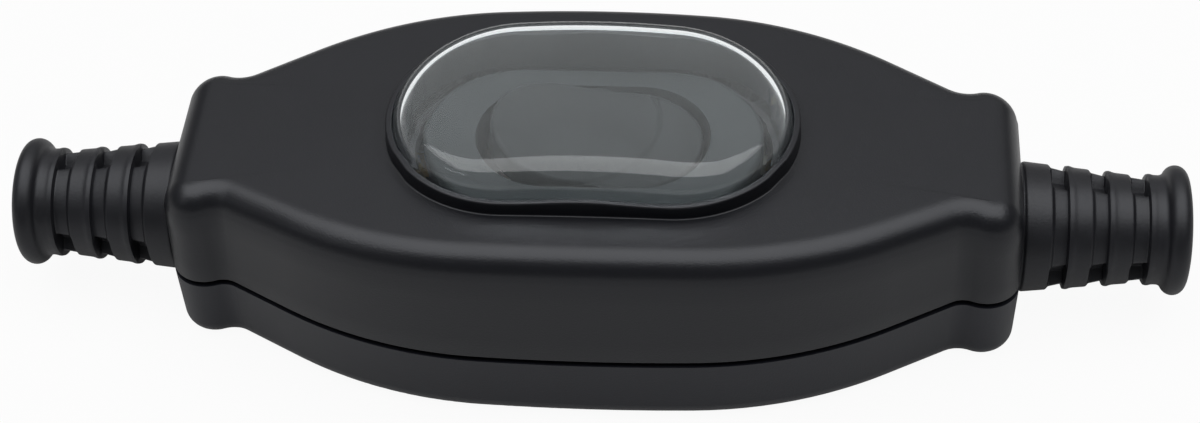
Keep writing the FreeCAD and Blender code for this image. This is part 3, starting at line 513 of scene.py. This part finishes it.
def boot_surface(look, end):
    """A boot as a profile turned about the cable's axis, with its grooves sunk in by place and turn.

    Radius = profile, less the groove and the ring gap at the housing, plus the beads. A groove has soft
    edges. On the webs its floor deepens from 0.55 of the depth at the inner edge to all of it at the
    outer edge, and in the pockets it is deep all over. A low bead, a bell curve along X, follows each
    groove, and a bell curve sinks the ring gap.
    """
    x, r = boot_profile(look)
    turn = np.linspace(0.0, 2 * math.pi, 180, endpoint=False)
    outside = (x - HALF_LENGTH)[:, None]
    sleeve = (outside >= 0) & (x < SLEEVE_END)[:, None] & (r > BORE_RADIUS + 1.0 * MM)[:, None]
    step = 2 * math.pi / look.pockets
    from_pocket = np.abs((turn - FIRST_POCKET + step / 2) % step - step / 2)[None, :]
    half_pocket, soft_turn = look.pocket_angle / 2, 0.07
    pocket = 1.0 - blend_step(from_pocket, half_pocket - soft_turn, half_pocket + soft_turn)
    sunk = np.zeros((len(x), len(turn)))
    raised = np.zeros((len(x), len(turn)))
    soft = 0.22 * MM
    bead_height, bead_width, beyond = 0.13 * MM, 0.4 * MM, 0.35 * MM
    for number in range(look.grooves):
        middle = look.first_groove + number * look.pitch
        inner, outer = middle - look.groove_width / 2, middle + look.groove_width / 2
        inside = blend_step(outside, inner - soft, inner + soft)
        inside = inside * (1 - blend_step(outside, outer - soft, outer))
        ramp = np.clip((outside - inner) / look.groove_width, 0.0, 1.0)
        web = look.groove_depth * (0.55 + 0.45 * ramp)
        sunk = np.maximum(sunk, inside * (web + (look.pocket_depth - web) * pocket))
        raised += bead_height * np.exp(-((outside - outer - beyond) / bead_width) ** 2)
    gap_depth, gap_width, gap_place = 0.25 * MM, 0.25 * MM, 0.15 * MM
    gap = gap_depth * np.exp(-((outside - gap_place) / gap_width) ** 2)
    radius = r[:, None] + np.where(sleeve, raised * (1 - pocket * 0.5) - sunk - gap, 0.0)
    y = -radius * np.cos(turn)
    z = CABLE_HEIGHT + radius * np.sin(turn)
    grid = stack(x[:, None] * end, y, z)
    return surface("boot", grid, closed_rows=True)


def cap_dome(inset, shoulder):
    """Rows of the cap's outside or inside, from the flange's level up the wall and over to the middle.

    The wall stands on the obround. Its top bends inwards by a round that touches both the wall and the
    dome, a large sphere: its centre lies under the dome's tangent point by the cosine of the dome's slope.
    From there rows run in to the obround's middle line.
    """
    points, normals = obround_loop(CAP_RADIUS - inset)
    peak = CAP_HIGH[2] - inset
    dome = CAP_DOME - inset

    def dome_height(place):
        return peak - dome + np.sqrt(dome ** 2 - (place ** 2).sum(axis=1))

    slope = np.zeros(len(points))
    for _ in range(4):
        touch = points - (shoulder * (1 - np.sin(slope)))[:, None] * normals
        slope = np.arcsin((touch * normals).sum(axis=1) / dome)
    centre_z = dome_height(touch) - shoulder * np.cos(slope)
    rows = [at_height(points, z) for z in (CAP_LOW[2], CAP_FLANGE_TOP, ROOF_TOP)]
    for share in np.linspace(0.0, 1.0, 14):
        turn = share * (math.pi / 2 - slope)
        place = points - (shoulder * (1 - np.cos(turn)))[:, None] * normals
        rows.append(at_height(place, centre_z + shoulder * np.sin(turn)))
    middle = np.clip(touch[:, 0], -COLLAR_STRAIGHT, COLLAR_STRAIGHT)
    spine = np.stack([middle, np.zeros(len(touch))], axis=-1)
    for share in np.linspace(0.0, 1.0, 16)[1:]:
        place = touch + (spine - touch) * share
        rows.append(at_height(place, dome_height(place)))
    return rows


def cap_surface(look):
    """The clear cap: its flange, wall and dome outside, and the same form one wall in, inside."""
    outer = cap_dome(0.0, look.shoulder)
    inner = cap_dome(CAP_WALL, look.shoulder - CAP_WALL / 2)
    flange, _ = obround_loop(CAP_FLANGE_RADIUS)
    skirt = [at_height(flange, z) for z in (CAP_LOW[2], CAP_FLANGE_TOP)]
    rows = inner[::-1] + skirt + outer[1:]
    return surface("cap", np.array(rows))


# Shader maths


class Value:
    """A shader number: wraps a socket, and arithmetic on it adds Math nodes."""

    def __init__(self, paint, socket):
        self.paint = paint
        self.socket = socket

    def _math(self, operation, first, second=None, third=None):
        return self.paint.node("ShaderNodeMath", {"operation": operation}, {0: first, 1: second, 2: third})

    def __add__(self, other):
        return self._math("ADD", self, other)

    __radd__ = __add__

    def __sub__(self, other):
        return self._math("SUBTRACT", self, other)

    def __rsub__(self, other):
        return self._math("SUBTRACT", other, self)

    def __mul__(self, other):
        return self._math("MULTIPLY", self, other)

    __rmul__ = __mul__

    def power(self, exponent):
        return self._math("POWER", self, exponent)

    def smooth(self, low, high):
        """0 below low, 1 above high, smooth between."""
        inputs = {"Value": self, "From Min": low, "From Max": high}
        return self.paint.node("ShaderNodeMapRange", {"interpolation_type": "SMOOTHSTEP"}, inputs)


class Paint:
    """Builds the node tree of one material or of the world."""

    def __init__(self, owner, output="ShaderNodeOutputMaterial"):
        self.owner = owner
        owner.use_nodes = True
        self.tree = owner.node_tree
        self.tree.nodes.clear()
        self.output = self.tree.nodes.new(output)

    def put(self, socket, value):
        """Links a value's socket, or sets a plain number or colour on the socket."""
        if value is None:
            return
        if isinstance(value, Value):
            self.tree.links.new(value.socket, socket)
            return
        if socket.type == "RGBA":
            value = tuple(value) + (1.0,)
        socket.default_value = value

    def node(self, kind, settings=None, inputs=None, output=0):
        """Adds a node, sets its settings and then its sockets, and returns the output or outputs named."""
        made = self.tree.nodes.new(kind)
        for key, value in (settings or {}).items():
            setattr(made, key, value)
        for key, value in (inputs or {}).items():
            self.put(made.inputs[key], value)
        if isinstance(output, tuple):
            return [Value(self, made.outputs[key]) for key in output]
        return Value(self, made.outputs[output])

    def place(self, scale=(1.0, 1.0, 1.0)):
        """Object coordinates, stretched by a scale."""
        coordinates = self.node("ShaderNodeTexCoord", output="Object")
        return self.node("ShaderNodeMapping", {}, {"Vector": coordinates, "Scale": scale})

    def noise(self, width, detail=3.0, roughness=0.5, stretch=(1.0, 1.0, 1.0)):
        """Noise whose features are about one width across."""
        inputs = {"Vector": self.place(stretch), "Scale": 1.0 / width, "Detail": detail,
                  "Roughness": roughness}
        return self.node("ShaderNodeTexNoise", {}, inputs)

    def mix_colour(self, factor, first, second):
        """The first colour where the factor is 0, the second where it is 1."""
        inputs = {0: factor, 6: first, 7: second}
        return self.node("ShaderNodeMix", {"data_type": "RGBA"}, inputs, output=2)

    def mix_shader(self, factor, first, second):
        """The first shader where the factor is 0, the second where it is 1."""
        return self.node("ShaderNodeMixShader", {}, {0: factor, 1: first, 2: second})

    def bump(self, height, distance):
        """A normal tilted by a height between 0 and 1, at so many metres for 1."""
        return self.node("ShaderNodeBump", {}, {"Height": height, "Distance": distance})

    def principled(self, **inputs):
        """The plain surface shader, its sockets named in lower case with underscores."""
        names = {key: key.replace("_", " ").title().replace("Ior", "IOR") for key in inputs}
        inputs = {names[key]: value for key, value in inputs.items()}
        return self.node("ShaderNodeBsdfPrincipled", {}, inputs)

    def finish(self, shader):
        """Links the shader to the output and returns the material or world."""
        self.tree.links.new(shader.socket, self.output.inputs["Surface"])
        return self.owner


def new_paint(name):
    """An empty material to build on."""
    return Paint(bpy.data.materials.new(name))


def scaled(colour, factor):
    """A colour made lighter or darker."""
    return tuple(min(channel * factor, 1.0) for channel in colour)


def housing_material(look, name, painted_lightness):
    """Fine spark-textured black plastic, a little smoother where it is handled."""
    paint = new_paint(name)
    grain = paint.noise(look.grain, detail=2.0, roughness=0.6)
    patches = paint.noise(0.018, detail=2.0)
    handling = paint.noise(0.006, detail=3.0)
    # Painted light: a factor above 1 makes a lighter copy of the same plastic, standing in for brighter
    # light
    tone = scaled(look.colour, painted_lightness)
    colour = paint.mix_colour(patches.smooth(0.3, 0.7), scaled(tone, 0.94), scaled(tone, 1.06))
    colour = paint.mix_colour(grain.smooth(0.45, 0.75) * 0.5, colour, scaled(tone, 1.5))
    roughness = look.roughness + (handling - 0.5) * 0.06 + (grain - 0.5) * 0.12
    normal = paint.bump(grain, look.grain_depth)
    return paint.finish(paint.principled(base_color=colour, roughness=roughness, normal=normal,
                                         specular_ior_level=BLACK_SHEEN, specular_tint=COOL_TINT))


def rubber_material(look):
    """Matt moulded rubber with a faint bloom."""
    paint = new_paint("boot_rubber")
    grain = paint.noise(0.00035, detail=3.0, roughness=0.6)
    bloom = paint.noise(0.004, detail=4.0)
    colour = paint.mix_colour(bloom.smooth(0.35, 0.7), scaled(look.colour, 0.9), scaled(look.colour, 1.3))
    roughness = 0.45 + (bloom - 0.5) * 0.12 + (grain - 0.5) * 0.1
    normal = paint.bump(grain, 0.000018)
    return paint.finish(paint.principled(base_color=colour, roughness=roughness, normal=normal,
                                         specular_ior_level=BLACK_SHEEN, specular_tint=COOL_TINT))


def plain_plastic(name, colour, roughness=0.45, shine=0.5):
    """Moulded plastic with a faint flow pattern and grain."""
    paint = new_paint(name)
    fine = paint.noise(0.0003, detail=2.0)
    flow = paint.noise(0.005, detail=3.0, stretch=(0.4, 1.0, 1.0))
    tone = paint.mix_colour(flow.smooth(0.3, 0.7), scaled(colour, 0.93), scaled(colour, 1.07))
    rough = roughness + (flow - 0.5) * 0.1
    return paint.finish(paint.principled(base_color=tone, roughness=rough, normal=paint.bump(fine, 0.00001),
                                         specular_ior_level=shine))


def metal_material(name, colour, roughness):
    """Stamped or turned metal with fine drawn lines."""
    paint = new_paint(name)
    lines = paint.noise(0.0004, detail=3.0, stretch=(0.08, 1.0, 1.0))
    stain = paint.noise(0.003, detail=3.0)
    tone = paint.mix_colour(stain.smooth(0.35, 0.75), colour, scaled(colour, 0.8))
    rough = roughness + (lines - 0.5) * 0.2
    return paint.finish(paint.principled(base_color=tone, roughness=rough, metallic=1.0,
                                         normal=paint.bump(lines, 0.000004)))


def rocker_material(look):
    """Grey plastic with a raised paddle: inside a circle the height is one step up, smooth at its edge."""
    paint = new_paint("rocker_grey")
    flow = paint.noise(0.005, detail=3.0, stretch=(0.4, 1.0, 1.0))
    tone = paint.mix_colour(flow.smooth(0.3, 0.7), scaled(look.colour, 0.93), scaled(look.colour, 1.07))
    x, y = paint.node("ShaderNodeSeparateXYZ", {}, {0: paint.place()}, output=("X", "Y"))
    along, across = x - PADDLE_X, y - PADDLE_Y
    from_middle = (along * along + across * across).power(0.5)
    edge = look.paddle_radius
    paddle = 1.0 - from_middle.smooth(edge - PADDLE_SOFT, edge + PADDLE_SOFT)
    normal = paint.bump(paddle, look.paddle_height)
    rough = 0.36 + (flow - 0.5) * 0.1
    return paint.finish(paint.principled(base_color=tone, roughness=rough, normal=normal,
                                         specular_ior_level=INNER_SHEEN))


def clear_material(look):
    """Clear plastic that bends light, a little milky and smudged; shadow rays pass it as tinted film."""
    paint = new_paint("clear_cap")
    smudge = paint.noise(0.005, detail=4.0).smooth(0.35, 0.75)
    rough = look.roughness + smudge * look.roughness
    clear = paint.principled(base_color=look.tint, roughness=rough, ior=look.index, transmission_weight=1.0)
    milk = paint.principled(base_color=(0.62, 0.66, 0.68), roughness=0.6, specular_ior_level=0.0)
    body = paint.mix_shader(look.haze + smudge * 0.006, clear, milk)
    film = paint.node("ShaderNodeBsdfTransparent", {}, {"Color": look.tint})
    shadow = paint.node("ShaderNodeLightPath", output="Is Shadow Ray")
    return paint.finish(paint.mix_shader(shadow, body, film))


def paint_node(name, material):
    """Gives a CAD node a new material in every slot."""
    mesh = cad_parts[name].data
    if not mesh.materials:
        mesh.materials.append(material)
    for index in range(len(mesh.materials)):
        mesh.materials[index] = material


# Operators


class CORDSWITCH_OT_shells(bpy.types.Operator):
    """Model the upper shell and paint both"""
    bl_idname = "cord_switch.shells"
    bl_label = "Housing shells"

    def execute(self, context):
        look = context.scene.housing_look
        black = housing_material(look, "housing_black", 1.0)
        add_piece("upper_housing", cover_surface(look), black, "housing", "cover_shell")
        # Painted light: the base gets a lighter copy of the cover's plastic in place of the brighter light
        # on it
        paint_node("base_shell", housing_material(look, "housing_black_base_painted_lighter", look.base_painted_light))
        return {"FINISHED"}


class CORDSWITCH_OT_boots(bpy.types.Operator):
    """Model the two cable boots"""
    bl_idname = "cord_switch.boots"
    bl_label = "Cable boots"

    def execute(self, context):
        look = context.scene.boot_look
        material = rubber_material(look)
        for side, end in (("left", -1.0), ("right", 1.0)):
            add_piece("boot_" + side, boot_surface(look, end), material, "housing",
                      "cable_boot_" + side)
        return {"FINISHED"}


class CORDSWITCH_OT_cap(bpy.types.Operator):
    """Model the clear cap"""
    bl_idname = "cord_switch.cap"
    bl_label = "Clear cap"

    def execute(self, context):
        look = context.scene.cap_look
        add_piece("clear_dome", cap_surface(look), clear_material(look), "housing",
                  "membrane_cap", sharp=50.0)
        return {"FINISHED"}


class CORDSWITCH_OT_inside(bpy.types.Operator):
    """Paint the switch mechanism and the fixings"""
    bl_idname = "cord_switch.inside"
    bl_label = "Inner pieces"

    def execute(self, context):
        look = context.scene.rocker_look
        paint_node("rocker", rocker_material(look))
        paler = scaled(look.colour, 1.7)
        paint_node("rocker_frame", plain_plastic("frame_grey", paler, roughness=0.42, shine=INNER_SHEEN))
        paint_node("cap_clamp_frame", plain_plastic("inner_black", (0.02, 0.02, 0.022)))
        pale = plain_plastic("block_plastic", (0.52, 0.5, 0.44))
        for name in ("contact_block", "cord_clamp_left", "cord_clamp_right"):
            paint_node(name, pale)
        seal = plain_plastic("seal_rubber", (0.012, 0.012, 0.013), roughness=0.7)
        pin = plain_plastic("plunger_plastic", (0.7, 0.7, 0.68), roughness=0.35)
        brass = metal_material("brass", (0.72, 0.52, 0.25), 0.3)
        steel = metal_material("steel", (0.58, 0.58, 0.57), 0.32)
        for side in SIDES:
            paint_node("seal_" + side, seal)
            paint_node("plunger_" + side, pin)
            paint_node("plunger_spring_" + side, steel)
            for name in ("contact_bridge_", "centre_terminal_", "outer_terminal_"):
                paint_node(name + side, brass)
        paint_node("earth_terminal", brass)
        for name in ("cap_clamp_screws", "housing_screws", "switch_body_screws", "terminal_screws",
                     "earth_screws", "cord_clamp_screws"):
            paint_node(name, steel)
        return {"FINISHED"}


def backdrop_material():
    """Pale matt floor; the camera and clear pieces see it near white, and mirrors get a little of that."""
    paint = new_paint("backdrop")
    camera, mirrored, passed = paint.node("ShaderNodeLightPath", output=SEEN_RAYS)
    matt = paint.principled(base_color=FLOOR_COLOUR, roughness=0.9)
    white = paint.node("ShaderNodeEmission", {}, {"Color": (1.0, 1.0, 1.0), "Strength": 1.0})
    return paint.finish(paint.mix_shader((camera + passed) * 0.94 + mirrored * 0.1, matt, white))


def studio_world(light):
    """Dim world; the camera and clear pieces see it white, and mirrors get a little of that."""
    paint = Paint(bpy.data.worlds.new("studio"), "ShaderNodeOutputWorld")
    camera, mirrored, passed = paint.node("ShaderNodeLightPath", output=SEEN_RAYS)
    inputs = {"Value": camera + passed + mirrored * 0.06, "To Min": WORLD_LEVEL * light, "To Max": 1.0}
    strength = paint.node("ShaderNodeMapRange", {}, inputs)
    inputs = {"Color": (1.0, 1.0, 1.0), "Strength": strength}
    return paint.finish(paint.node("ShaderNodeBackground", {}, inputs))


def area_lamp(name, place, target, size, power):
    """A soft rectangular lamp at a place, turned toward its target."""
    lamp = bpy.data.lights.new(name, "AREA")
    lamp.shape = "RECTANGLE"
    lamp.size, lamp.size_y = size
    lamp.energy = power
    shown = bpy.data.objects.new(name, lamp)
    shown.location = place
    shown.rotation_euler = (Vector(target) - Vector(place)).to_track_quat("-Z", "Y").to_euler()
    bpy.context.scene.collection.objects.link(shown)


def photo_camera(look):
    """The camera, back from its target by the distance and rolled about its line of sight."""
    flat = math.cos(look.elevation)
    back = Vector((math.sin(look.azimuth) * flat, -math.cos(look.azimuth) * flat, math.sin(look.elevation)))
    camera = bpy.data.cameras.new("camera")
    camera.lens = look.focal
    camera.sensor_fit = "HORIZONTAL"
    camera.sensor_width = 36.0
    camera.clip_start = 0.01
    shown = bpy.data.objects.new("camera", camera)
    shown.location = CAMERA_TARGET + back * look.distance
    shown.rotation_euler = (Quaternion(back, look.roll) @ (-back).to_track_quat("-Z", "Y")).to_euler()
    bpy.context.scene.collection.objects.link(shown)
    return shown


class CORDSWITCH_OT_stage(bpy.types.Operator):
    """Set the floor, the lamps, the world and the camera"""
    bl_idname = "cord_switch.stage"
    bl_label = "Studio"

    def execute(self, context):
        look = context.scene.studio_look
        scene = context.scene
        scene.view_settings.view_transform = "Standard"
        half, z = FLOOR_HALF, FLOOR_HEIGHT
        corners = [(-half, -half, z), (half, -half, z), (half, half, z), (-half, half, z)]
        mesh = bpy.data.meshes.new("floor")
        mesh.from_pydata(corners, [], [(0, 1, 2, 3)])
        mesh.materials.append(backdrop_material())
        floor = bpy.data.objects.new("floor", mesh)
        scene.collection.objects.link(floor)
        floor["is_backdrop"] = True
        for name, place, target, size, power in LAMPS:
            area_lamp(name, place, target, size, power * look.light)
        scene.world = studio_world(look.light)
        scene.camera = photo_camera(look)
        return {"FINISHED"}


class CORDSWITCH_PT_panel(bpy.types.Panel):
    bl_idname = "CORDSWITCH_PT_panel"
    bl_label = "Inline cord switch"
    bl_space_type = "VIEW_3D"
    bl_region_type = "UI"
    bl_category = "Cord switch"

    def draw(self, context):
        for operator in OPERATORS:
            self.layout.operator(operator.bl_idname)


OPERATORS = (CORDSWITCH_OT_shells, CORDSWITCH_OT_boots, CORDSWITCH_OT_cap, CORDSWITCH_OT_inside,
             CORDSWITCH_OT_stage)
GROUPS = {"housing_look": HousingLook, "boot_look": BootLook, "cap_look": CapLook,
          "rocker_look": RockerLook, "studio_look": StudioLook}


def register():
    """Adds the property groups, the operators and the panel to Blender."""
    for group in GROUPS.values():
        bpy.utils.register_class(group)
    for name, group in GROUPS.items():
        setattr(bpy.types.Scene, name, PointerProperty(type=group))
    for operator in OPERATORS:
        bpy.utils.register_class(operator)
    bpy.utils.register_class(CORDSWITCH_PT_panel)


def unregister():
    """Takes them out again."""
    bpy.utils.unregister_class(CORDSWITCH_PT_panel)
    for operator in reversed(OPERATORS):
        bpy.utils.unregister_class(operator)
    for name in GROUPS:
        delattr(bpy.types.Scene, name)
    for group in reversed(list(GROUPS.values())):
        bpy.utils.unregister_class(group)


def main():
    """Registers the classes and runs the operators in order."""
    register()
    for operator in OPERATORS:
        family, action = operator.bl_idname.split(".")
        getattr(getattr(bpy.ops, family), action)()
    boxes = {"cad": cad_box, "visual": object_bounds()}
    plain = {key: [[float(c) for c in corner] for corner in value] for key, value in boxes.items()}


if __name__ == "__main__":
    main()
